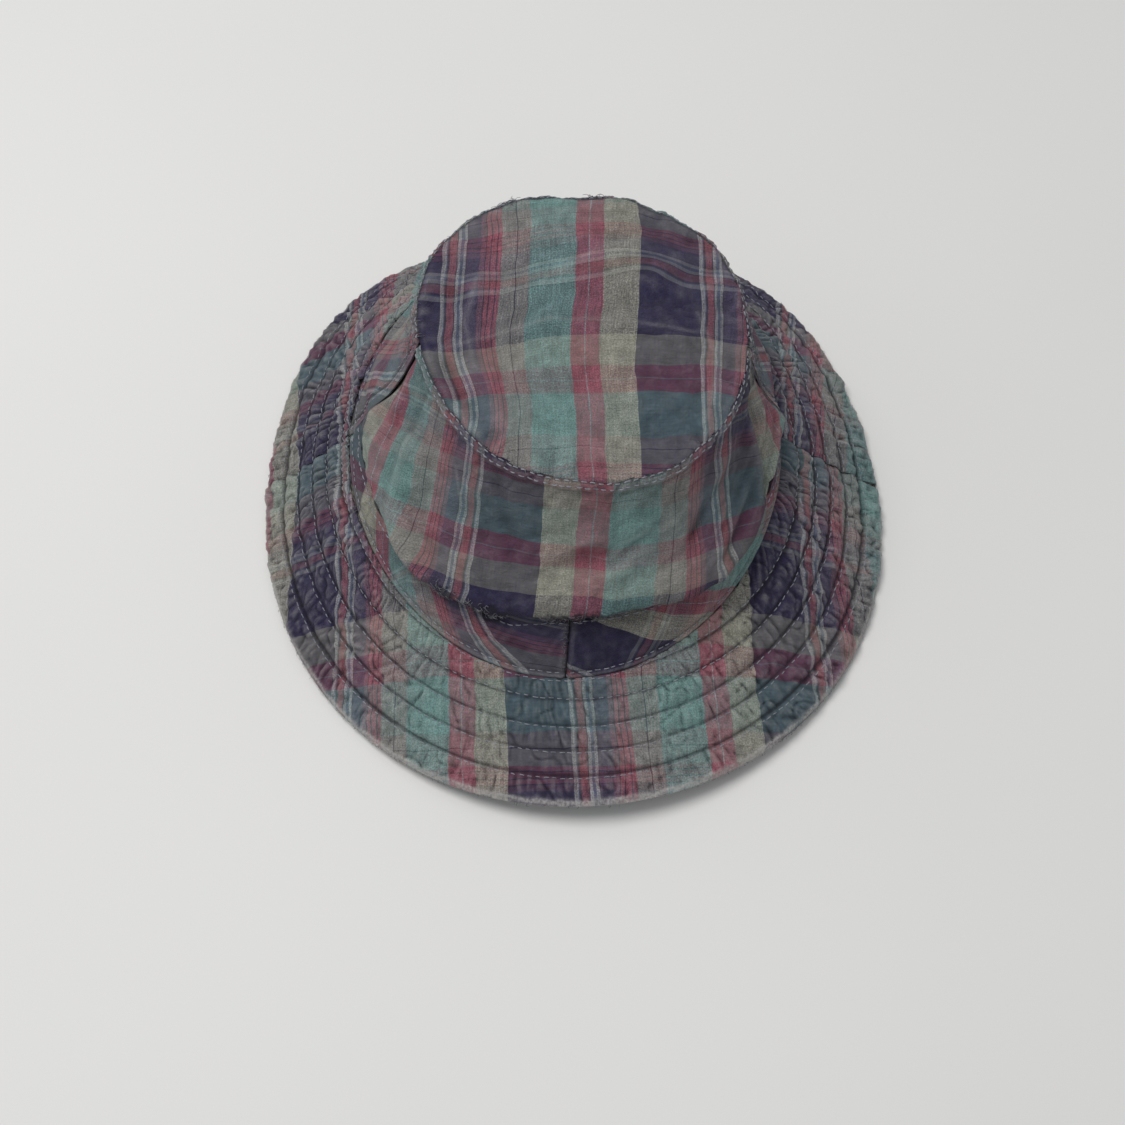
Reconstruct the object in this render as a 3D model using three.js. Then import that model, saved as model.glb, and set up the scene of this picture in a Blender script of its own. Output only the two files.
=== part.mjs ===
// A soft cotton bucket hat, cut and sewn from flat pieces: an oval tip, a two-part crown wall with a lower
// band, a quilted brim of three layers in front and back halves, a sweatband and the tapes over the seams.
// Millimetres, +Z up, standing on its brim. The front of the hat looks towards -Y.
import * as THREE from "three";

// Driving dimensions, in millimetres.
const CLOTH = 0.9; // thickness of a washed cotton panel
const TAPE = 0.6; // thickness of a seam tape
const GAP = 0.35; // free space between pieces that are sewn together
const BRIM_LAYER = 1.1; // height of one brim layer, measured straight up
const BRIM_GAP = 0.45; // free height between two brim layers
const BRIM_STACK = 3 * BRIM_LAYER + 2 * BRIM_GAP;
const HEAD_HALF_WIDTH = 86; // the head opening at the brim seam
const HEAD_FRONT = 101;
const HEAD_BACK = 103;
const BRIM_HALF_WIDTH = 131; // the outer edge of the brim
const BRIM_HALF_LENGTH = 145;
const BRIM_FLAT = 4; // the outermost strip of the brim, which lies level
const TIP_HALF_WIDTH = 62;
const TIP_FRONT = 60;
const TIP_BACK = 68;
const SWEATBAND_INSET = 5; // the sweatband's lower edge stands this far inside the brim seam
const TIP_DOME = 3; // rise of the tip's middle over its seam
const CROWN_LEAN = 4; // the soft crown leans to one side by this much at the tip
const SIDE_GAP = THREE.MathUtils.degToRad(0.2); // half the gap at a side seam, as an angle
const TAPE_HALF_ANGLE = THREE.MathUtils.degToRad(4); // half the width of a side seam's tape
const FULL_TURN = 2 * Math.PI;

// An oval level of the hat: how far it reaches to the sides, front and back, and how high it is there.
const oval = (half, front, back, sideZ, frontZ, backZ, lean = 0) =>
  ({ half, front, back, sideZ, frontZ, backZ, lean });

// Levels of the crown wall from the tip seam down. At the front the slack wall sags into a belly, whose
// lip hangs over the tuck above the lower band.
const TIP_SEAM = oval(TIP_HALF_WIDTH, TIP_FRONT, TIP_BACK, 100, 96, 103, CROWN_LEAN);
const CROWN = [
  TIP_SEAM,
  oval(67, 65, 77, 84, 81, 86, 3),
  oval(73, 73, 85, 69, 66, 72, 2),
  oval(80, 91, 92, 58, 54, 60, 1),
  oval(82, 86, 96, 51, 49.5, 53, -1),
  oval(HEAD_HALF_WIDTH, HEAD_FRONT, HEAD_BACK, 40, 27, 41, -3),
];
const TUCK = 4 / (CROWN.length - 1); // how far down the crown the tuck lies, as a share of its levels
const TUCK_HALF_GAP = 0.006;

// Levels of the brim, on its upper face, from the head opening, just under the wall's lower edge, out to
// the brim's own edge.
const BRIM = [
  oval(HEAD_HALF_WIDTH - CLOTH, HEAD_FRONT - CLOTH, HEAD_BACK - CLOTH, 39, 25.9, 40, -3),
  oval(109, 123, 124, 21, 14.5, 22, -1),
  oval(BRIM_HALF_WIDTH - BRIM_FLAT, BRIM_HALF_LENGTH - BRIM_FLAT, BRIM_HALF_LENGTH - BRIM_FLAT,
    BRIM_STACK, BRIM_STACK, BRIM_STACK),
  oval(BRIM_HALF_WIDTH, BRIM_HALF_LENGTH, BRIM_HALF_LENGTH, BRIM_STACK, BRIM_STACK, BRIM_STACK),
];

// Levels of the sweatband, from its free upper edge down to the brim seam.
const SWEATBAND = [
  oval(68, 77, 79, 71, 56, 72, 2),
  oval(HEAD_HALF_WIDTH - SWEATBAND_INSET, HEAD_FRONT - SWEATBAND_INSET, HEAD_BACK - SWEATBAND_INSET,
    41, 28, 42, -3),
];

function ovalPoint(level, angle) {
  const side = Math.cos(angle);
  const along = Math.sin(angle);
  const reach = along < 0 ? level.front : level.back;
  const endZ = along < 0 ? level.frontZ : level.backZ;
  return new THREE.Vector3(
    level.lean + level.half * side,
    reach * along,
    level.sideZ + (endZ - level.sideZ) * along * along,
  );
}

// A surface is a function of the angle round the hat and the share of the way down or out.
const smoothSurface = (levels) => (angle, share) =>
  new THREE.CatmullRomCurve3(levels.map((level) => ovalPoint(level, angle))).getPoint(share);

function straightSurface(levels) {
  return (angle, share) => {
    const step = Math.min(Math.floor(share * (levels.length - 1)), levels.length - 2);
    const part = share * (levels.length - 1) - step;
    return ovalPoint(levels[step], angle).lerp(ovalPoint(levels[step + 1], angle), part);
  };
}

// The tip: share 0 is its middle and share 1 its seam.
function tipSurface(angle, share) {
  const seam = ovalPoint(TIP_SEAM, angle);
  const middle = new THREE.Vector3(TIP_SEAM.lean, (TIP_BACK - TIP_FRONT) / 2, TIP_SEAM.sideZ);
  const point = middle.lerp(seam, share);
  point.z += TIP_DOME * (1 - share * share);
  return point;
}

const crownSurface = smoothSurface(CROWN);
const brimSurface = straightSurface(BRIM);
const sweatbandSurface = straightSurface(SWEATBAND);

// The direction out of the cloth at a point of a surface.
function outward(surface, angle, share) {
  const step = 1e-3;
  const low = Math.max(share - step, 0);
  const high = Math.min(share + step, 1);
  const around = surface(angle + step, share).sub(surface(angle - step, share));
  const down = surface(angle, high).sub(surface(angle, low));
  return down.cross(around).normalize();
}
const straightUp = () => new THREE.Vector3(0, 0, 1);

// Lays a closed unit shape on a surface: x runs along the angle, y along the share and z through the cloth.
function lay(geometry, surface, direction, place) {
  const position = geometry.getAttribute("position");
  const corner = new THREE.Vector3();
  for (let i = 0; i < position.count; i++) {
    corner.fromBufferAttribute(position, i);
    const { angle, share, lift } = place(corner);
    const point = surface(angle, share);
    point.addScaledVector(direction(surface, angle, share), lift);
    position.setXYZ(i, point.x, point.y, point.z);
  }
  geometry.computeVertexNormals();
  return geometry;
}

// A panel of cloth between two angles and two shares, with its outer face at the given lift.
function panel(piece) {
  const { surface, from, to, start, end, around, across } = piece;
  const { lift = 0, thick = CLOTH, direction = outward } = piece;
  return lay(new THREE.BoxGeometry(1, 1, 1, around, across, 1), surface, direction, (corner) => ({
    angle: THREE.MathUtils.lerp(from, to, corner.x + 0.5),
    share: THREE.MathUtils.lerp(end, start, corner.y + 0.5),
    lift: lift + thick * (corner.z - 0.5),
  }));
}

// The tip is a flattened ball: its upper half is the tip's face and its lower half the inside.
function tipPanel(around, rings) {
  const ball = new THREE.SphereGeometry(1, around, 2 * rings);
  ball.rotateX(Math.PI / 2);
  const clearance = GAP + CLOTH;
  return lay(ball, tipSurface, straightUp, (corner) => {
    const polar = Math.acos(THREE.MathUtils.clamp(corner.z, -1, 1));
    const share = 1 - Math.abs(1 - polar / (Math.PI / 2));
    const rim = Math.abs(corner.z) < 1e-6;
    return {
      angle: Math.atan2(corner.y, corner.x),
      share,
      lift: clearance - (rim ? CLOTH / 2 : corner.z > 0 ? 0 : CLOTH),
    };
  });
}

const PLAID = { roughness: 0.92, metalness: 0 };
const materials = {
  plaid: () => new THREE.MeshStandardMaterial({ ...PLAID, color: 0x6d6a78 }),
  brimPlaid: () => new THREE.MeshStandardMaterial({ ...PLAID, color: 0x74707a }),
  interlining: () => new THREE.MeshStandardMaterial({ color: 0xd8d4c6, roughness: 0.95, metalness: 0 }),
  twill: () => new THREE.MeshStandardMaterial({ color: 0x9a9a8e, roughness: 0.9, metalness: 0 }),
};

const hat = new THREE.Group();
function add(name, geometry, material) {
  const mesh = new THREE.Mesh(geometry, material());
  mesh.name = name;
  hat.add(mesh);
}

const FRONT_HALF = { from: Math.PI + SIDE_GAP, to: FULL_TURN - SIDE_GAP };
const BACK_HALF = { from: SIDE_GAP, to: Math.PI - SIDE_GAP };
const CENTRE_FRONT = 1.5 * Math.PI;
const CENTRE_BACK = Math.PI / 2;
const HALF_STEPS = 28; // facets round half of the hat
const ALL_ROUND = { from: CENTRE_BACK + SIDE_GAP, to: CENTRE_BACK + FULL_TURN - SIDE_GAP };

function crown() {
  add("crown_tip", tipPanel(2 * HALF_STEPS, 5), materials.plaid);
  const wall = { surface: crownSurface, around: HALF_STEPS, start: 0 };
  const lip = TUCK - TUCK_HALF_GAP;
  add("crown_wall_front", panel({ ...wall, ...FRONT_HALF, end: lip, across: 8 }), materials.plaid);
  add("crown_wall_back", panel({ ...wall, ...BACK_HALF, end: 1, across: 8 }), materials.plaid);

  const band = { ...wall, around: HALF_STEPS / 2, across: 3, start: TUCK + TUCK_HALF_GAP, end: 1 };
  const left = { from: FRONT_HALF.from, to: CENTRE_FRONT - SIDE_GAP };
  const right = { from: CENTRE_FRONT + SIDE_GAP, to: FRONT_HALF.to };
  add("lower_band_left", panel({ ...band, ...left }), materials.plaid);
  add("lower_band_right", panel({ ...band, ...right }), materials.plaid);
}

// Three layers: the face, a stiff interlining and the underside, which the hat rests on.
function brim() {
  const layer = (number) => ({
    surface: brimSurface, direction: straightUp, across: BRIM.length - 1, start: 0, end: 1,
    lift: -number * (BRIM_LAYER + BRIM_GAP), thick: BRIM_LAYER,
  });
  const half = { around: HALF_STEPS };
  add("brim_top_front", panel({ ...layer(0), ...half, ...FRONT_HALF }), materials.brimPlaid);
  add("brim_top_back", panel({ ...layer(0), ...half, ...BACK_HALF }), materials.brimPlaid);
  const stiffener = panel({ ...layer(1), around: 2 * HALF_STEPS, ...ALL_ROUND });
  add("brim_interlining", stiffener, materials.interlining);
  add("brim_under_front", panel({ ...layer(2), ...half, ...FRONT_HALF }), materials.brimPlaid);
  add("brim_under_back", panel({ ...layer(2), ...half, ...BACK_HALF }), materials.brimPlaid);
}

// The inside: the sweatband and the tapes that cover the raw edges of the seams.
function insides() {
  add("sweatband", panel({
    surface: sweatbandSurface, ...ALL_ROUND, around: 2 * HALF_STEPS, across: 3, start: 0, end: 1,
  }), materials.twill);

  const tape = { surface: crownSurface, lift: -(CLOTH + GAP), thick: TAPE };
  const ring = { ...tape, ...ALL_ROUND, around: 2 * HALF_STEPS };
  add("tip_seam_tape", panel({ ...ring, start: 0.02, end: 0.12, across: 1 }), materials.twill);
  add("base_seam_tape", panel({ ...ring, start: 0.9, end: 0.98, across: 1 }), materials.twill);

  const strip = { ...tape, start: 0.15, end: 0.87, around: 2, across: 6 };
  for (const [name, middle] of [["side_seam_tape_right", 0], ["side_seam_tape_left", Math.PI]]) {
    const width = { from: middle - TAPE_HALF_ANGLE, to: middle + TAPE_HALF_ANGLE };
    add(name, panel({ ...strip, ...width }), materials.twill);
  }
}

crown();
brim();
insides();

export default hat;
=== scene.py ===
"""A washed plaid bucket hat: crown tip, slack front wall over a tuck, lower band, quilted brim, sweatband,
tapes and stitching.

Lengths are in millimetres and angles round the hat in degrees, anticlockwise seen from above, with the
front of the hat at 270. A surface is a grid of points: first index round the hat, second down or outwards.
"""
import math

import bpy
import numpy as np
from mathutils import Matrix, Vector


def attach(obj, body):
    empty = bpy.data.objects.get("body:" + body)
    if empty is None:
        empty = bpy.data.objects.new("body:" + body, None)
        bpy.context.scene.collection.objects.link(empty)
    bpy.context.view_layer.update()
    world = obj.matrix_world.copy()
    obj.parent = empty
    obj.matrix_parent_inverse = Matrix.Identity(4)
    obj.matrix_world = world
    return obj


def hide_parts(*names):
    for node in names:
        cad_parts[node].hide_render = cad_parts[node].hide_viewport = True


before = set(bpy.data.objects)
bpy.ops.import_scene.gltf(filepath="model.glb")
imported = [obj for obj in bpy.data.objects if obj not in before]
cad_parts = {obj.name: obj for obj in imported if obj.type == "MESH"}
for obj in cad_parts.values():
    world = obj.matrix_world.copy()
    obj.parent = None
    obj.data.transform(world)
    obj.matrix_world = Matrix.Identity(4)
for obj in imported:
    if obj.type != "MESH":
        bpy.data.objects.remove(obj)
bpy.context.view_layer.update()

MM = 0.001
FRONT, BACK, RIGHT, LEFT = 270.0, 90.0, 360.0, 180.0

# Levels of the hat: half width, reach to the front and to the back, then the height at the sides, front
# and back, and how far the level leans to the hat's left.
TIP_SEAM = (62, 60, 68, 100, 96, 103, 4)
UPPER_WALL = (67, 65, 77, 84, 81, 86, 3)
BRIM_SEAM = (86, 101, 103, 40, 27, 41, -3)
FRONT_WALL = [TIP_SEAM, UPPER_WALL, (73, 73, 85, 69, 66, 72, 2), (79.5, 88, 91, 59, 57, 61, 1),
              (82.5, 92, 93, 54, 52, 57, 0), (82, 88.5, 94, 52, 48.6, 55, -0.5),
              (81.6, 85.6, 95, 51.4, 49.6, 53.5, -1)]
BACK_WALL = [TIP_SEAM, UPPER_WALL, (73, 73, 85, 69, 66, 72, 2), (80, 91, 92, 58, 54, 60, 1),
             (82, 86, 96, 51, 49.5, 53, -1), BRIM_SEAM]
BAND = [(81.6, 85.6, 95.4, 51.0, 49.2, 53, -1), (84.2, 94.2, 99.5, 45.8, 39, 47, -2), BRIM_SEAM]
# The same levels where there is no tuck, and the wall runs straight on into the band.
FRONT_FLAT = [TIP_SEAM, UPPER_WALL, (73, 74, 85, 69, 67, 72, 2),
              (79, 84, 91, 60, 57, 61, 1), (80.5, 88, 93, 56, 51, 57, 0),
              (81.3, 90.5, 94, 53.5, 47.5, 55, -0.5), (82, 92.5, 95, 51, 44.6, 53.5, -1)]
BAND_FLAT = [(82, 92.5, 95.4, 51.0, 44.6, 53, -1), (84.2, 97, 99.5, 45.8, 36.2, 47, -2), BRIM_SEAM]
BRIM = [(85.3, 100.3, 102.3, 39.6, 26.5, 40.6, -3), (100.4, 115, 116.3, 25.7, 17.0, 26.5, -1.8),
        (115.8, 130, 130.6, 12.5, 8.5, 13.2, -0.8), (131, 145, 145, 1.3, 1.3, 1.3, 0)]
SWEATBAND = [(68, 77, 79, 71, 56, 72, 2), (74, 86, 88, 56, 42, 57, 0), (81, 96, 98, 41, 28, 42, -3)]

# Folds in the tip: a path of x and y, width and height.
TIP_FOLDS = [([(-50, -4), (-31, 1), (-8, 8), (23, 6), (44, 2)], 3.6, 1.1),
             ([(24, 48), (8, 40), (-10, 28)], 3.6, 1.0), ([(-50, -5), (-42, -23), (-30, -38)], 3.4, -1.2),
             ([(46, 12), (52, -9), (48, -33)], 3.0, 1.0), ([(-20, -30), (4, -38), (30, -36)], 3.4, -0.9),
             ([(-36, 30), (-40, 8), (-36, -12)], 3.4, 0.8)]
# Folds in the slack front wall: a path of angles and distances down from the tip seam, width and height.
WALL_FOLDS = [([(214, 30), (216, 42), (222, 51), (230, 56)], 4.4, -1.2),
              ([(202, 30), (208, 47), (217, 57), (228, 61)], 3.6, 1.8),
              ([(339, 20), (334, 36), (331, 47), (322, 54), (311, 57)], 3.0, 1.9),
              ([(347, 18), (342, 34), (338, 46)], 3.4, -1.6),
              ([(186, 16), (189, 34), (191, 50)], 2.8, 1.4), ([(196, 12), (199, 30), (203, 44)], 3.4, -1.3),
              ([(262, 34), (270, 28), (282, 24), (297, 22)], 3.2, 0.9),
              ([(256, 50), (268, 42), (284, 37)], 3.0, 0.9), ([(240, 12), (246, 24), (250, 36)], 3.4, -0.9),
              ([(318, 8), (314, 22), (306, 34)], 3.2, -1.0)]
FOLD_RISE = 1.35  # all the wall's folds stand this much higher than their heights above
# Creases on the wall rubbed pale by wear: angles and distances down.
WORN_CREASES = [[(186, 18), (188, 36), (191, 52)], [(195, 26), (203, 44), (213, 56), (224, 60)],
                [(260, 50), (268, 44), (279, 38), (292, 35)], [(274, 30), (290, 25), (305, 21)],
                [(330, 14), (326, 28), (318, 42)], [(222, 16), (230, 28), (236, 44)],
                [(198, 8), (206, 16), (216, 20)]]

# How far the tuck's lip creeps outwards (or in) round the front: angle, spread in degrees and distance.
LIP_CREEP = [(276, 15, -4.2), (231, 11, 2.2), (304, 6, 2.6)]
# Where the washed tip's cloth has crept out of square: x, y, spreads and distance, across and along.
TIP_CREEP_ACROSS = [(-40, -30, 16, 13, -7), (60, -35, 10, 26, 5), (-5, -5, 26, 16, 2.7),
                    (30, 55, 10, 40, -2.2)]
TIP_CREEP_ALONG = [(20, 65, 26, 40, -7), (-45, 5, 16, 16, 5.8), (35, 15, 26, 10, 4), (25, 30, 10, 16, -5),
                   (-15, 55, 26, 10, -4.8)]

# How the worn hat departs from its ovals: cosine and sine terms, in percent of the reach.
TIP_WAVES = [(-0.2, 0), (0, 5.3), (-1.0, -3.5), (-0.6, 2.9), (-1.5, 0)]
BRIM_WAVES = [(-1.0, 0), (-0.1, -1.5), (0.6, -0.9), (0, 1.1), (-1.5, -0.4), (0.1, -0.7)]
# Where the brim's edge lifts off the ground: angle, spread in degrees and height.
BRIM_LIFTS = [(275, 24, 9), (20, 12, 1.4), (150, 16, 2.5), (95, 20, 2), (208, 10, 1.2)]

REPEAT = 97.0  # one repeat of the plaid
YARN_PITCH = 0.9  # two yarns of the weave
CLOTH, BRIM_CLOTH, TAPE, FELT = 0.7, 0.6, 0.5, 0.16  # thicknesses
SEAM_GAP, BRIM_GAP, BAND_GAP, RING_GAP = 0.1, 0.05, 0.12, 0.2  # degrees left clear at a seam

# Cone-shaped panels: radius of the upper arc and the angle of each half of it.
WALL_CONE, BRIM_FRONT_CONE, BRIM_BACK_CONE = (172, 37), (104.7, 94.5), (107.9, 86.3)
# The plaid on a wall panel: its repeats across and down as the cloth has stretched, and where it starts.
WALL_FRONT_PLAID = (114.3, 83.5, -0.384, 0.185)
WALL_BACK_PLAID = (114.3, 90, 0.1, 0.45)
WALL_PER_DEGREE = 1.45  # millimetres round the front wall for a degree
# Worn places along the tuck: angle, spread in degrees, how deep, then how far down the band the
# painted shade inside the hole reaches, and spread.
HOLES = [(249, 3.4, 1.0, 8.4, 3.6), (235.5, 2.2, 1.0, 9, 2.4), (272, 7, 0.9, 3, 9)]
HOLE_SHADE_START = 0.585  # how far down the wall the painted shade of a hole starts, as a share

BRIM_DEPTH = 61.0  # from the brim's edge in to its seam
BRIM_ROWS = [11.5, 21, 30.5, 40, 49.5]  # stitch rows on the brim, measured in from its edge
BRIM_PUFF = 1.15
TIP_ROWS = (1.0, 3.4)  # stitch rows below the tip seam
HEM_ROW = 2.9  # stitch row along an edge, measured in from it
BACK_HEM_ROW = 2.6
STITCH_PITCH = 3.2
STITCH_LENGTH = 2.3
THREAD_RADIUS = 0.18
THICK_THREAD = 0.24
TUCK_THREAD = 0.22

# The lamp and the camera, in metres.
LAMP_AT = (-0.55, 0.16, 1.55)
CAMERA_AT = (-0.004, -0.3471, 0.5406)
CAMERA_TILT = 30
FLOOR_REACH = 20


# ---- shapes of numbers

def smooth(x):
    """0 below 0, 1 above 1 and a smooth step between."""
    x = np.clip(x, 0, 1)
    return x * x * (3 - 2 * x)


def noise(x, y, seed):
    """Smooth seeded noise from -1 to 1, with one feature to each unit of x and y."""
    size = 97
    lattice = np.random.default_rng(seed).uniform(-1, 1, (size, size))
    i, j = np.floor(x).astype(int), np.floor(y).astype(int)
    fx, fy = smooth(x - i), smooth(y - j)
    i, j, after, beyond = i % size, j % size, (i + 1) % size, (j + 1) % size
    near = lattice[i, j] * (1 - fx) + lattice[after, j] * fx
    far = lattice[i, beyond] * (1 - fx) + lattice[after, beyond] * fx
    return near * (1 - fy) + far * fy


def folds(x, y, seed):
    """Rounded ridges with sharp valleys, about one to each unit of x, from -1 to 1."""
    bent = x + 0.35 * noise(x * 0.5, y * 1.3, seed + 1)
    rough = 0.65 * np.abs(noise(bent, y, seed + 2)) + 0.35 * np.abs(noise(2.1 * bent, 1.4 * y, seed + 3))
    return np.clip(3.2 * rough - 0.9, -1, 1.2)


def waves(angle, terms):
    """Cosine and sine terms of once, twice and more round, in percent."""
    turn = np.radians(angle)
    return sum(c * np.cos(k * turn) + s * np.sin(k * turn) for k, (c, s) in enumerate(terms)) / 100


def bell(x, middle, spread):
    return np.exp(-0.5 * ((x - middle) / spread) ** 2)


def angle_bell(angle, middle, spread):
    away = (np.asarray(angle) - middle + 180) % 360 - 180
    return bell(away, 0, spread)


def levels_at(levels, share):
    """The level at a share from 0 to 1 of the way along a list of levels, on a smooth curve."""
    levels = np.asarray(levels, float)
    last = len(levels) - 1
    at = np.clip(share, 0, 1) * last
    low = np.minimum(at.astype(int), last - 1)
    f = (at - low)[..., None]
    a, b, c, d = (levels[np.clip(low + k, 0, last)] for k in (-1, 0, 1, 2))
    return 0.5 * (2 * b + (c - a) * f + (2 * a - 5 * b + 4 * c - d) * f ** 2
                  + (3 * b - a - 3 * c + d) * f ** 3)


def on_oval(level, angle, swell=0.0):
    """Points of a level at given angles, swollen outwards by a share of its reach."""
    half, front, back, side_z, front_z, back_z, lean = np.moveaxis(level, -1, 0)
    side, along = np.cos(np.radians(angle)), np.sin(np.radians(angle))
    reach = np.where(along < 0, front, back)
    end_z = np.where(along < 0, front_z, back_z)
    return np.stack([lean + half * side * (1 + swell), reach * along * (1 + swell),
                     side_z + (end_z - side_z) * along ** 2], -1)


def grid(start, end, around, across):
    """Angles and shares of a surface with this many points around and across."""
    return np.meshgrid(np.linspace(start, end, around), np.linspace(0, 1, across), indexing="ij")


def lengths(points, axis):
    """Distance run along one direction of a grid, from 0."""
    steps = np.linalg.norm(np.diff(points, axis=axis), axis=-1)
    return np.concatenate([np.zeros_like(steps.take([0], axis)), np.cumsum(steps, axis)], axis)


def normals_of(points):
    """Unit normals out of the hat."""
    n = np.cross(np.gradient(points, axis=1), np.gradient(points, axis=0))
    size = np.linalg.norm(n, axis=-1, keepdims=True)
    return n / np.maximum(size, 1e-9)


def blur(height, times):
    for _ in range(times):
        padded = np.pad(height, 1, mode="edge")
        around = padded[:-2, 1:-1] + padded[2:, 1:-1] + padded[1:-1, :-2] + padded[1:-1, 2:]
        height = around / 8 + height / 2
    return height


def unit(vectors):
    return vectors / np.linalg.norm(vectors, axis=-1, keepdims=True)


def run_along(points):
    """Distance run along a line of points, from 0."""
    return np.concatenate([[0], np.cumsum(np.linalg.norm(np.diff(points, axis=0), axis=1))])


def crease(x, y, path, width, height):
    """A ridge (or a valley, if height is negative) along a path of points."""
    nearest = np.full(np.shape(x), 1e9)
    for (x0, y0), (x1, y1) in zip(path, path[1:]):
        run = (x1 - x0) ** 2 + (y1 - y0) ** 2
        f = np.clip(((x - x0) * (x1 - x0) + (y - y0) * (y1 - y0)) / run, 0, 1)
        nearest = np.minimum(nearest, np.hypot(x - x0 - f * (x1 - x0), y - y0 - f * (y1 - y0)))
    return height * np.exp(-0.5 * (nearest / width) ** 2)


class Surface:
    """A cloth surface: points and normals on a grid, with the angle, share and distances of each."""

    def __init__(self, points, angle, share):
        self.points, self.angle, self.share = points, angle, share
        self.normals = normals_of(points)
        self.down = lengths(points, 1)
        self.around = lengths(points, 0)
        self.length = self.down[:, -1:]

    def length_at(self, angle):
        return np.interp(angle, self.angle[:, 0], self.length[:, 0])

    def raised(self, height):
        return Surface(self.points + self.normals * height[..., None], self.angle, self.share)

    def at(self, angle, share):
        """Points and normals at given angles and shares, between the grid's own."""
        rows, columns = self.share.shape
        a = (angle - self.angle[0, 0]) / (self.angle[-1, 0] - self.angle[0, 0]) * (rows - 1)
        b = np.clip(share, 0, 1) * (columns - 1)
        i = np.clip(np.floor(a).astype(int), 0, rows - 2)
        j = np.clip(np.floor(b).astype(int), 0, columns - 2)
        f, g = (a - i)[..., None], (b - j)[..., None]

        def mixed(field):
            near = field[i, j] * (1 - f) + field[i + 1, j] * f
            return near * (1 - g) + (field[i, j + 1] * (1 - f) + field[i + 1, j + 1] * f) * g
        return mixed(self.points), mixed(self.normals)

    def share_down(self, angle, distance):
        """The shares at which the cloth has run a distance down from its start, at given angles."""
        rows = np.round((angle - self.angle[0, 0]) / (self.angle[-1, 0] - self.angle[0, 0])
                        * (len(self.angle) - 1)).astype(int)
        rows = np.clip(rows, 0, len(self.angle) - 1)
        wanted = np.broadcast_to(distance, np.shape(rows))
        return np.array([np.interp(d, self.down[r], self.share[r]) for r, d in zip(rows, wanted)])


# ---- cloth patterns

def base_turn(angle, centre):
    """How far round the brim seam an angle lies from the middle of its half, from -1 to 1."""
    ring = np.linspace(centre - 90, centre + 90, 721)
    points = on_oval(np.tile(np.array(BRIM_SEAM, float), (len(ring), 1)), ring)
    run = run_along(points)
    return np.interp(angle, ring, 2 * run / run[-1] - 1)


def cone_panel(surface, centre, cone, run):
    """Flat position on a cone-shaped half panel at a distance down: across its middle line, and down."""
    radius, spread = cone
    turn = np.radians(spread * base_turn(surface.angle, centre))
    return (radius + run) * np.sin(turn), (radius + run) * np.cos(turn) - radius


def wall_plaid(across, down, plaid):
    """Where a wall panel's flat positions lie in the plaid, in its repeats."""
    repeat_across, repeat_down, start_across, start_down = plaid
    return np.stack([-across / repeat_across + start_across, down / repeat_down + start_down], -1)


# ---- materials

def srgb(red, green, blue):
    def linear(c):
        c /= 255
        return c / 12.92 if c <= 0.04045 else ((c + 0.055) / 1.055) ** 2.4
    return (linear(red), linear(green), linear(blue), 1.0)


YARNS = {
    "white": srgb(134, 135, 140), "dark": srgb(52, 45, 56), "red": srgb(124, 72, 82),
    "rose": srgb(138, 80, 92), "slate": srgb(78, 88, 108), "navy": srgb(36, 32, 62),
    "plum": srgb(68, 60, 84), "wine": srgb(106, 74, 90), "ash": srgb(126, 125, 122),
    "teal": srgb(106, 139, 136), "khaki": srgb(140, 139, 127),
}
# One repeat of the plaid: each yarn and how many hundredths of the repeat it runs.
SETT = [("white", 1.5), ("slate", 0.4), ("dark", 0.5), ("red", 2.7), ("dark", 0.4), ("white", 1.4),
        ("slate", 1.2), ("white", 1.2), ("dark", 0.3), ("plum", 4.9), ("wine", 2.1), ("dark", 0.4),
        ("rose", 1.4),
        ("dark", 0.4), ("rose", 2.0), ("dark", 0.4), ("rose", 1.5), ("ash", 5.9), ("dark", 0.4),
        ("ash", 5.3), ("teal", 17.7), ("rose", 5.2), ("white", 0.6), ("rose", 4.9), ("khaki", 12.6),
        ("navy", 24.7)]

# WASHED and RUBBED are the cloth's own faded and rubbed colours; the other two are painted shade, for fine
# creases and for hollows, seams and holes.
WASHED, CREASE_SHADE = srgb(156, 158, 168), srgb(40, 36, 48)
RUBBED, SHADED = srgb(196, 193, 190), srgb(24, 21, 30)


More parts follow.
